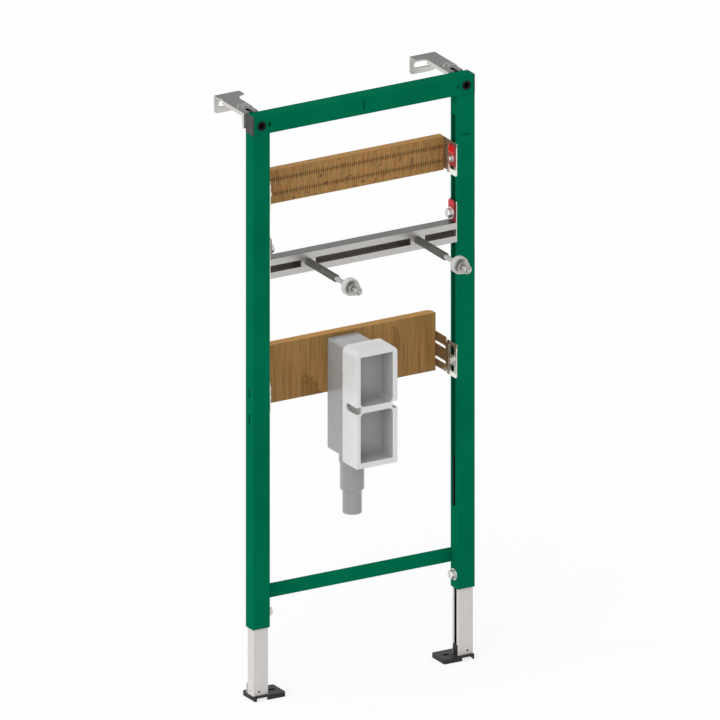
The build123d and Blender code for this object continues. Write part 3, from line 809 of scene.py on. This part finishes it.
GREEN = PowderCoat("green_powder_coat", "green", (1, 99, 70), gloss=0.002, patches=(
    # Painted shade in the post slots behind the trap brackets.
    twin((14, 20, 11), x=(219, 236), y=(12, 28), z=(466, 522.5), strength=0.85),
    Patch((0, 16, 9), x=(-1.3, 0.9), y=SKIN, z=(1077, 1098), strength=0.95),
    Patch((0, 30, 18), x=(230.5, 249.5), y=SKIN, z=(980.2, 982.2), strength=0.9),
    Patch((3, 62, 44), x=(234, 246), y=SKIN, z=(984.6, 986.2), strength=0.35),
    # Dark painted marks for small slots near the tops of the posts; the dark stands for the shade
    # inside them.
    Patch((0, 28, 16), x=(-223.4, -218.6), y=SKIN, z=(1082.8, 1091.2), strength=0.9),
    Patch((2, 52, 36), x=(218.6, 223.4), y=SKIN, z=(1082.8, 1091.2), strength=0.55),
))
GALVANISED = Galvanised("galvanised_tube", "galvanised", (197, 193, 191), gloss=0.2, patches=(
    # Painted shade inside the legs: the hollow of each tube, and the upper part that shows through the
    # post slots.
    twin((12, 11, 10), x=(224.3, 255.7), y=(4.8, 25.2), z=(-150, 300)),
    twin((10, 12, 10), x=(222, 258), y=(2.5, 27.5), z=(168, 310), strength=0.97),
    Patch((70, 68, 66), x=(-258, -257), y=(15, 18), z=(-137, -133.8)),
    # Painted shade inside each leg behind its small hole near the foot.
    twin((10, 10, 9), x=(241.5, 246.5), y=(3.05, 28), z=(-139, -134)),
))
BRACKET_ZINC = StampedSteel(
    "bracket_zinc", "zinc_sheet", (205, 202, 198), gloss=0.3, painted_top_reflection=(106, 106, 104),
    streaks=EVEN, patches=(
        # Painted shade in the windows of the top plates, beside the spindles.
        Patch((6, 6, 6), x=(-250.4, -242.6), y=(29.5, 50.5), z=(1106.9, 1110.6)),
        Patch((6, 6, 6), x=(229.6, 237.4), y=(29.5, 50.5), z=(1106.9, 1110.6)),
    ))
RAIL_ZINC = SheetSteel(
    "rail_zinc", "rail_steel", (186, 184, 181), gloss=0.3, painted_top_reflection=(98, 97, 96), patches=(
        Patch((180, 172, 168), y=(4.6, 40), z=(752, 789.5)),
        # Painted highlight on the front strips of the steel plates by the posts.
        twin((228, 232, 226), x=(217.3, 220.2), y=(2, 4), z=(745, 840)),
    ))
BOARD_BRACKET_ZINC = SheetSteel(
    "board_bracket_zinc", "bracket_steel", (168, 160, 150), gloss=0.3, painted_top_reflection=(150, 144, 138),
    painted_front_light=(232, 228, 214), streaks=EVEN, patches=(
        twin((168, 140, 100), x=(215, 221), y=(41.6, 120), strength=0.7),
        # Painted shade on the beads of the trap brackets, taking back the painted front light there.
        twin((124, 116, 92), x=(215, 219), y=(33, 41.4), z=(440, 540), strength=0.8),
        # Painted light on the lower fronts of the tap brackets.
        twin((236, 242, 236), x=(216, 221), y=(1.9, 31.5), z=(888, 904.5)),
        # Painted highlight along the beads of the tap brackets.
        twin((232, 200, 182), x=(214, 219.4), y=(31.3, 33.9), z=(890, 947)),
        # Painted shadow under the red inserts.
        twin((12, 8, 4), x=(218, 221), y=(13, 26.5), z=(903, 911.5)),
        # Painted light on the fronts of the trap brackets beside the bolts.
        twin((196, 200, 194), x=(218, 221), y=(1.9, 13), z=(465, 510)),
        # Painted light on the lower fronts of the trap brackets.
        twin((236, 242, 236), x=(218, 221), y=(1.9, 30), z=(450, 465)),
    ))
BOLT_ZINC = SheetSteel("bolt_zinc", "zinc_fastener", (206, 205, 202), painted_top_reflection=(190, 188, 184),
                       roughness=0.28, streaks=FINE)
STUD_ZINC = SheetSteel("stud_zinc", "stud_steel", (178, 176, 173), painted_top_reflection=(150, 147, 144),
                       roughness=0.3, streaks=(90.0, 20.0, 90.0))
SLEEVE_ZINC = SheetSteel("sleeve_zinc", "sleeve_steel", (92, 91, 85), gloss=0.2,
                         painted_top_reflection=(80, 80, 74), roughness=0.5, metallic=0.5,
                         streaks=(200.0, 60.0, 200.0), contrast=0.22)
SLIDE_ZINC = SheetSteel("slide_nut_zinc", "slide_nut", (196, 193, 190), painted_top_reflection=(150, 148, 146))
END_CAP = Moulded("end_cap_plastic", "dark_cap", (68, 66, 66), gloss=0.15, roughness=0.55, patches=(
    Patch((6, 56, 42), x=(255, 261), y=(-1, 1.6), strength=0.9),
    Patch((40, 62, 54), x=(-261, -255), y=(-1, 2.2), strength=0.7),
))
BLACK_PLASTIC = Moulded("black_plastic", "black_plastic", (10, 10, 10), gloss=0.15, roughness=0.42)
FOOT_PLASTIC = Moulded("foot_plastic", "black_foot", (30, 30, 29), gloss=0.25, roughness=0.48,
                       relief=(0.06, 0.4))
WHITE_BUSH = Moulded("white_bush_plastic", "white_bush", (183, 184, 182), gloss=0.3, roughness=0.35)
RAIL_RED = Moulded(
    "rail_clip_plastic", "red_plastic", (190, 50, 58), gloss=0.2, roughness=0.45, patches=(
        # Painted shade on the two strips nearest the front and on the lower part of the clips.
        twin((104, 20, 24), x=RAIL_CLIP, y=(1.9, 5.2)),
        twin((140, 30, 34), x=RAIL_CLIP, y=(5.2, 9.5)),
        twin((130, 34, 40), x=RAIL_CLIP, y=(1.9, 31), z=(790, 803)),
        twin((196, 186, 184), x=RAIL_CLIP, y=(17, 31), z=(790, 799.5)),
        Patch((120, 118, 112), x=(-218.5, -211), y=(1.5, 2.8)),
    ))
TAP_RED = Moulded(
    "tap_clip_plastic", "red_plastic", (202, 30, 26), gloss=0.2, roughness=0.45, patches=(
        # Painted shade below the fold and on the strip nearest the front, a painted highlight along the
        # fold, and a darker band at the top.
        twin((158, 46, 60), x=TAP_CLIP, y=(3, 33), z=(908, 939)),
        twin((216, 112, 98), x=TAP_CLIP, y=(13, 33), z=(938.2, 940.4)),
        twin((150, 52, 58), x=TAP_CLIP, y=(3, 9.5)),
        twin((140, 44, 40), x=TAP_CLIP, y=(3, 33), z=(954.8, 959)),
    ))
HOUSING = Moulded(
    "grey_housing_plastic", "grey_housing", (148, 148, 148), gloss=0.4, roughness=0.16, coat=0.25,
    mottle=0.012, patches=tuple(
        twin((84, 83, 81), x=(36, 37), y=(26.6, 29.4), z=(level - 1.8, level + 1.8))
        for level in (503.0, 445.0, 381.0)
    ))
OUTLET_GREY = Moulded("grey_outlet_plastic", "grey_housing", (141, 141, 140), gloss=0.4,
                      roughness=0.2, coat=0.2, mottle=0.012)
BOX_WHITE = Moulded(
    "white_box_plastic", "white_box", (207, 207, 207), gloss=0.3, roughness=0.3, coat=0.1,
    mottle=0.008, patches=(
        # Painted shade: the insides of both chambers are a darker grey.
        Patch((166, 166, 166), x=CHAMBER, y=(-52, 5), z=(336.2, 443.8)),
        Patch((166, 166, 166), x=CHAMBER, y=(-52, 5), z=(457.2, 564.8)),
        twin((156, 154, 152), x=(37.3, 48.3), y=(-52.5, -12.5), z=(443.2, 457.8)),
    ))
TAP_PLYWOOD = Plywood("tap_board_plywood", "tap_plywood", (147, 115, 68), gloss=0.15, ruler=Ruler())
TRAP_PLYWOOD = Plywood(
    "trap_board_plywood", "trap_plywood", (148, 113, 64), gloss=0.15, warm_colour=(154, 114, 67),
    dark_colour=(92, 60, 26), front=87.0, thickness=22.0, grain=(300.0, 60.0, 9.0),
    mottle=(22.0, 10.0, 5.0), knots=0.0, edge_colour=(190, 138, 72), arches=(
        Arch(side=-97.0, foot=444.0, width=42.0, height=48.0),
        Arch(side=118.0, foot=520.0, width=16.0, height=40.0),
    ))


@dataclass
class Shop:
    """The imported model's nodes and the materials, each made once."""

    nodes: dict[str, bpy.types.Object]
    made: dict[str, bpy.types.Material] = field(default_factory=dict)

    def material(self, finish: Finish) -> bpy.types.Material:
        """The material of a finish."""
        if finish.name not in self.made:
            self.made[finish.name] = finish.material()
        return self.made[finish.name]

    def dress(self, node: str, finish: Finish) -> None:
        """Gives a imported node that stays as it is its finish."""
        mesh = self.nodes[node].data
        mesh.materials.clear()
        mesh.materials.append(self.material(finish))
        LOG.info("%s: dressed in %s", node, finish.name)

    def add(self, work: Workpiece, name: str, finish: Finish, replaced: Sequence[str] = (),
            body: Body = Body.FRAME) -> bpy.types.Object:
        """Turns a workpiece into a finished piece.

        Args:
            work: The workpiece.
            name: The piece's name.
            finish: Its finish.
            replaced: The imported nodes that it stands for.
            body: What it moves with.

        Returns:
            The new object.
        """
        mesh = work.mesh(name)
        mesh.materials.append(self.material(finish))
        piece = bpy.data.objects.new(name, mesh)
        bpy.context.scene.collection.objects.link(piece)
        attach(piece, body.value)
        if replaced:
            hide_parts(*replaced)
        LOG.info("%s: %d faces on %s", name, len(mesh.polygons), body.value)
        return piece

    def softened(self, node: str, name: str, finish: Finish, width: float,
                 body: Body = Body.FRAME, segments: int = 1) -> None:
        """Replaces a node by its copy with broken edges.

        Args:
            node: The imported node.
            name: The new piece's name, where braces stand for the node's.
            finish: Its finish.
            width: The width of the broken edges.
            body: What it moves with.
            segments: One for chamfers, more for rounds.
        """
        work = Workpiece.from_node(self.nodes[node])
        work.soften(width, segments)
        piece = self.add(work, name.format(node), finish, [node], body)
        if segments > 1:
            piece.modifiers.new("even shading", "WEIGHTED_NORMAL").keep_sharp = True


@dataclass
class SteelFrame:
    """Posts, beam and lower bar with their caps, plugs, spindles and wall brackets."""

    shop: Shop
    spindle_place: float = 240.0
    spindle_level: float = 1087.0
    spindle_start: float = 10.0
    spindle_length: float = 62.0
    spindle_size: Pair = (8.0, 1.25)
    nut_start: float = 33.3
    nut_across: float = 13.0
    nut_length: float = 6.5
    slider_reach: Pair = (12.0, 9.0)
    slider_depth: Pair = (34.0, 52.0)
    slider_rise: Pair = (1095.0, 1106.95)

    def build(self) -> None:
        """Makes every piece of the frame."""
        self.shop.dress("top_beam", GREEN)
        self.shop.softened("lower_bar", "{}_coated", GREEN, width=0.5)
        for side in Side:
            word = side.label
            self.shop.dress(f"{word}_post", GREEN)
            self.shop.softened(f"{word}_end_cap", "{}_moulded", END_CAP, width=0.6)
            self.shop.softened(f"{word}_access_plug", "{}_moulded", BLACK_PLASTIC, width=0.35)
            self.shop.softened(f"{word}_wall_bracket", "{}_folded", BRACKET_ZINC, width=0.6)
            self.spindle(side)
            self.slider(side)

    def spindle(self, side: Side) -> None:
        """Makes one threaded spindle with its nut."""
        start = side.at(self.spindle_place, self.spindle_start, self.spindle_level)
        nut = side.at(self.spindle_place, self.nut_start, self.spindle_level)
        work = Workpiece()
        work.thread(*self.spindle_size, start, Along.Y, self.spindle_length)
        work.prism(6, self.nut_across, nut, Along.Y, self.nut_length, chamfer=0.7)
        self.shop.add(work, f"{side.label}_spindle_threaded", BOLT_ZINC,
                      [f"{side.label}_wall_spindle"])

    def slider(self, side: Side) -> None:
        """Makes the black block under a bracket's window, taken as the spindle's guide; its black
        stands in for the shade seen through the window.
        """
        x = side.value * self.spindle_place
        low, high = zip((x - self.slider_reach[0], x + self.slider_reach[1]), self.slider_depth,
                        self.slider_rise)
        work = Workpiece()
        work.block(low, high, bevel=0.8)
        self.shop.add(work, f"{side.label}_spindle_slider", BLACK_PLASTIC)


@dataclass
class Legs:
    """Telescopic legs with their moulded feet and the small steel blade by the left one."""

    shop: Shop
    blade_low: Point = (-257.4, 30.3, -144.5)
    blade_high: Point = (-254.6, 31.5, -124.0)

    def build(self) -> None:
        """Makes both legs."""
        for side in Side:
            word = side.label
            self.shop.softened(f"{word}_leg", "{}_tube", GALVANISED, width=0.3, body=side.leg)
            self.shop.softened(f"{word}_foot", "{}_moulded", FOOT_PLASTIC, width=0.7, body=side.leg)
        blade = Workpiece()
        blade.block(self.blade_low, self.blade_high, bevel=0.2)
        self.shop.add(blade, "left_leg_blade", GALVANISED, body=Side.LEFT.leg)


@dataclass(frozen=True)
class BoltSpec:
    """A hexagon bolt, by its usual sizes."""

    across: float
    head: float
    washer: float
    shank: float
    washer_thickness: float = 1.6


SMALL_BOLT = BoltSpec(across=13.0, head=6.8, washer=22.0, shank=8.0)
TAP_BOLT = BoltSpec(across=11.0, head=6.8, washer=17.0, shank=8.0)
LARGE_BOLT = BoltSpec(across=17.0, head=9.0, washer=25.0, shank=10.0)


@dataclass(frozen=True)
class BoltPlace:
    """Where one pair of side bolts sits on its stack of plates."""

    node: str
    level: float
    stack: float
    nut_gap: float = 0.0
    spec: BoltSpec = SMALL_BOLT
    depth: float = 17.5


@dataclass
class SideBolts:
    """The bolts on the inward faces of the posts, each with washer and channel nut."""

    shop: Shop
    inner_face: float = 220.0
    wall: float = 2.0
    nut_size: Point = (5.0, 18.0, 16.0)
    places: tuple[BoltPlace, ...] = (
        BoltPlace("leg_bolt", level=29.0, stack=0.0, nut_gap=2.9, spec=LARGE_BOLT, depth=15.0),
        BoltPlace("rail_bolt", level=811.0, stack=5.5, spec=LARGE_BOLT),
        BoltPlace("tap_bolt", level=928.0, stack=4.0, spec=TAP_BOLT),
        BoltPlace("trap_bolt", level=491.5, stack=1.5),
    )

    def build(self) -> None:
        """Makes every side bolt."""
        for place in self.places:
            for side in Side:
                self.bolt(place, side)

    def bolt(self, place: BoltPlace, side: Side) -> None:
        """Makes one bolt, as a left one that is mirrored for the right post.

        Args:
            place: Its level, stack and size.
            side: The post that it holds on to.
        """
        spec = place.spec
        depth, level = place.depth, place.level
        face = -self.inner_face + place.stack
        head = face + spec.washer_thickness
        inside = -self.inner_face - self.wall - place.nut_gap
        thick, wide, high = self.nut_size
        work = Workpiece()
        work.ring(spec.washer, spec.shank, (face, depth, level), Along.X, spec.washer_thickness)
        work.prism(6, spec.across, (head, depth, level), Along.X, spec.head, chamfer=0.8)
        work.block((inside - thick, depth - wide / 2, level - high / 2),
                   (inside, depth + wide / 2, level + high / 2), bevel=0.5)
        work.rod(spec.shank, (inside - thick, depth, level), Along.X, head - inside + thick,
                 chamfer=0.2)
        if side is Side.RIGHT:
            bmesh.ops.transform(work.bm, matrix=Matrix.Scale(-1.0, 4, (1, 0, 0)), verts=work.bm.verts)
        self.shop.add(work, f"{side.label}_{place.node}_set", BOLT_ZINC, [f"{side.label}_{place.node}"])


@dataclass(frozen=True)
class RingSpec:
    """A washer or collar on a stud."""

    outer: float
    inner: float
    start: float
    length: float
    chamfer: float


@dataclass
class BasinRail:
    """Mounting rail with its clips, slide nuts, studs, sleeves and bushes.

    The outlines of the sleeves and bushes are pairs of radius and distance along Y.
    """

    shop: Shop
    level: float = 772.0
    stud_place: float = 128.0
    stud_reach: Pair = (-202.0, 26.5)
    stud_size: Pair = (10.0, 1.5)
    nut_across: float = 17.0
    nut_reach: Pair = (-183.0, -174.0)
    rings: tuple[RingSpec, ...] = (
        RingSpec(outer=30.0, inner=10.0, start=-174.0, length=2.0, chamfer=0.3),
        RingSpec(outer=27.0, inner=10.0, start=-185.5, length=2.5, chamfer=0.4),
        RingSpec(outer=17.4, inner=9.0, start=-201.6, length=5.0, chamfer=1.0),
    )
    sleeve_reach: Pair = (-110.0, 2.5)
    sleeve_bore: float = 5.1
    sleeve_radius: float = 8.0
    groove_radius: float = 7.35
    ribs: int = 26
    rib_start: float = 1.5
    rib_pitch: float = 2.0
    sleeve_chamfers: Pair = (0.6, 0.3)
    bush_start: float = -172.0
    bush: tuple[Pair, ...] = (
        (5.1, 0.0), (17.0, 0.0), (18.5, 1.5), (18.5, 11.8), (17.3, 13.0), (10.6, 13.0), (10.0, 13.6),
        (10.0, 18.2), (9.2, 19.0), (5.1, 19.0), (5.1, 0.0))

    def build(self) -> None:
        """Makes the rail and all that it carries."""
        self.shop.softened("mounting_rail", "{}_rolled", RAIL_ZINC, width=0.6)
        self.shop.softened("channel_nuts", "slide_nuts", SLIDE_ZINC, width=0.6)
        for side in Side:
            word = side.label
            self.shop.softened(f"{word}_rail_clip", "{}_moulded", RAIL_RED, width=0.5)
            self.stud(side)
            self.sleeve(side)
        self.bushes()

    def spot(self, side: Side, y: float) -> Point:
        """A point on one stud's axis."""
        return side.at(self.stud_place, y, self.level)

    def stud(self, side: Side) -> None:
        """Makes one threaded stud with its nut, washer and collars."""
        work = Workpiece()
        tip, end = self.stud_reach
        work.thread(*self.stud_size, self.spot(side, tip), Along.Y, end - tip)
        low, high = self.nut_reach
        work.prism(6, self.nut_across, self.spot(side, low), Along.Y, high - low, chamfer=1.0)
        for ring in self.rings:
            work.ring(ring.outer, ring.inner, self.spot(side, ring.start), Along.Y, ring.length,
                      ring.chamfer)
        self.shop.add(work, f"{side.label}_stud_threaded", STUD_ZINC, [f"{side.label}_stud"])

    def sleeve(self, side: Side) -> None:
        """Makes one sleeve nut, plain near the rail and ribbed towards its free end."""
        low, high = self.sleeve_reach
        length, bore, outer = high - low, self.sleeve_bore, self.sleeve_radius
        first, last = self.sleeve_chamfers
        outline = [(bore, 0.0), (outer - first, 0.0), (outer, first)]
        for rib in range(self.ribs):
            start = self.rib_start + rib * self.rib_pitch
            for quarter, radius in enumerate((outer, self.groove_radius, self.groove_radius, outer)):
                outline.append((radius, start + quarter * self.rib_pitch / 4))
        outline += [(outer, length - last), (outer - last, length), (bore, length), (bore, 0.0)]
        work = Workpiece()
        work.lathe(outline, self.spot(side, low), Along.Y, steps=40)
        self.shop.add(work, f"{side.label}_sleeve_ribbed", SLEEVE_ZINC, [f"{side.label}_stud_sleeve"])

    def bushes(self) -> None:
        """Makes the two collared bushes."""
        work = Workpiece()
        for side in Side:
            work.lathe(self.bush, self.spot(side, self.bush_start), Along.Y, steps=56)
        self.shop.add(work, "stud_bushes_moulded", WHITE_BUSH, ["stud_bushes"])


@dataclass
class Boards:
    """Tap and trap boards with their brackets and red inserts."""

    shop: Shop

    def build(self) -> None:
        """Makes the boards and what holds them."""
        self.shop.softened("tap_board", "{}_plywood_sheet", TAP_PLYWOOD, width=0.5)
        self.shop.softened("trap_board", "{}_plywood_sheet", TRAP_PLYWOOD, width=0.5)
        for side in Side:
            for board in ("tap", "trap"):
                self.shop.softened(f"{side.label}_{board}_bracket", "{}_pressed", BOARD_BRACKET_ZINC,
                                   width=0.3)
            self.shop.softened(f"{side.label}_tap_clip", f"{side.label}_tap_insert", TAP_RED, width=0.4)


@dataclass
class Trap:
    """Concealed trap: housing, front box and outlet."""

    shop: Shop

    def build(self) -> None:
        """Makes the trap."""
        self.shop.softened("trap_housing", "{}_moulded", HOUSING, width=3.0, segments=4)
        self.shop.softened("trap_box", "{}_moulded", BOX_WHITE, width=1.6, segments=3)
        self.shop.softened("trap_outlet", "{}_moulded", OUTLET_GREY, width=0.5)


@dataclass
class Studio:
    """Camera, soft light and a pale floor. Distances and the picture's width are in metres."""

    target: Point = (-9.3, 0.0, 538.8)
    azimuth: float = -30.0
    elevation: float = 20.2
    picture_width: float = 1.461
    distance: float = 5.0
    ambient: float = 0.72
    key_strength: float = 1.9
    key_direction: Point = (-0.76, -0.30, 0.58)
    key_size: float = 75.0
    floor_level: float = -154.55
    floor_reach: float = 30.0
    floor_clear: float = 0.75
    floor_cloud: float = 0.6
    floor_tones: Pair = (0.90, 0.92)

    def build(self) -> None:
        """Sets up the studio."""
        self.camera()
        self.world()
        self.key_light()
        self.floor()
        bpy.context.scene.view_settings.view_transform = "Standard"

    def aimed(self, name: str, data: bpy.types.ID, towards: Vector, track: str) -> bpy.types.Object:
        """Adds a camera or lamp that is turned one way.

        Args:
            name: The object's name.
            data: Its camera or light.
            towards: The direction of the tracked axis.
            track: The tracked axis.

        Returns:
            The new object.
        """
        made = bpy.data.objects.new(name, data)
        made.rotation_mode = "QUATERNION"
        made.rotation_quaternion = towards.to_track_quat(track, "Y")
        bpy.context.scene.collection.objects.link(made)
        return made

    def camera(self) -> None:
        """Adds the camera at the photograph's angle."""
        data = bpy.data.cameras.new("camera")
        data.type = "ORTHO"
        data.ortho_scale = self.picture_width
        a, e = math.radians(self.azimuth), math.radians(self.elevation)
        back = Vector((math.sin(a) * math.cos(e), -math.cos(a) * math.cos(e), math.sin(e)))
        camera = self.aimed("camera", data, -back, "-Z")
        camera.location = DATUM.place(self.target) + back * self.distance
        bpy.context.scene.camera = camera

    def world(self) -> None:
        """Adds an even surround that the camera and mirrors see as white."""
        world = bpy.data.worlds.new("studio")
        bpy.context.scene.world = world
        graph = Graph(world)
        seen = graph.ray("Camera").most(graph.mirror())
        lit, plain = (graph.node("ShaderNodeBackground", inputs={"Strength": strength, "Color": WHITE})
                      for strength in (self.ambient, 1.0))
        graph.close(graph.node("ShaderNodeMixShader", inputs={0: seen, 1: lit, 2: plain}),
                    "ShaderNodeOutputWorld")

    def key_light(self) -> None:
        """Adds a broad key light from the left."""
        data = bpy.data.lights.new("key", "SUN")
        data.energy = self.key_strength
        data.angle = math.radians(self.key_size)
        self.aimed("key", data, Vector(self.key_direction), "Z")

    def floor(self) -> None:
        """Adds the floor: mostly the white surround to the camera, with the object's faint shadow.

        It is clear rather than glowing, so that a foot at its longest reach still shows.
        """
        mesh = bpy.data.meshes.new("floor")
        bm = bmesh.new()
        middle = DATUM.place((0.0, 0.0, self.floor_level))
        bmesh.ops.create_grid(bm, x_segments=1, y_segments=1, size=self.floor_reach,
                              matrix=Matrix.Translation(middle))
        bm.to_mesh(mesh)
        bm.free()
        floor = bpy.data.objects.new("floor", mesh)
        bpy.context.scene.collection.objects.link(floor)
        graph = Graph(bpy.data.materials.new("studio_floor"))
        low, high = ((tone, tone, tone, 1.0) for tone in self.floor_tones)
        colour = graph.blend(graph.noise(self.floor_cloud), low, high)
        diffuse = graph.node("ShaderNodeBsdfDiffuse", inputs={"Color": colour})
        clear = graph.node("ShaderNodeBsdfTransparent")
        share = (graph.ray("Camera") * self.floor_clear).most(graph.mirror())
        graph.close(graph.node("ShaderNodeMixShader", inputs={0: share, 1: diffuse, 2: clear}))
        mesh.materials.append(graph.owner)


def main() -> None:
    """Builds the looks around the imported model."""
    logging.basicConfig(level=logging.INFO, format="%(name)s: %(message)s")
    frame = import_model()
    Studio().build()
    shop = Shop(frame["nodes"])
    for assembly in (SteelFrame, Legs, SideBolts, BasinRail, Boards, Trap):
        LOG.info("building %s", assembly.__name__)
        assembly(shop).build()


if __name__ == "__main__":
    main()
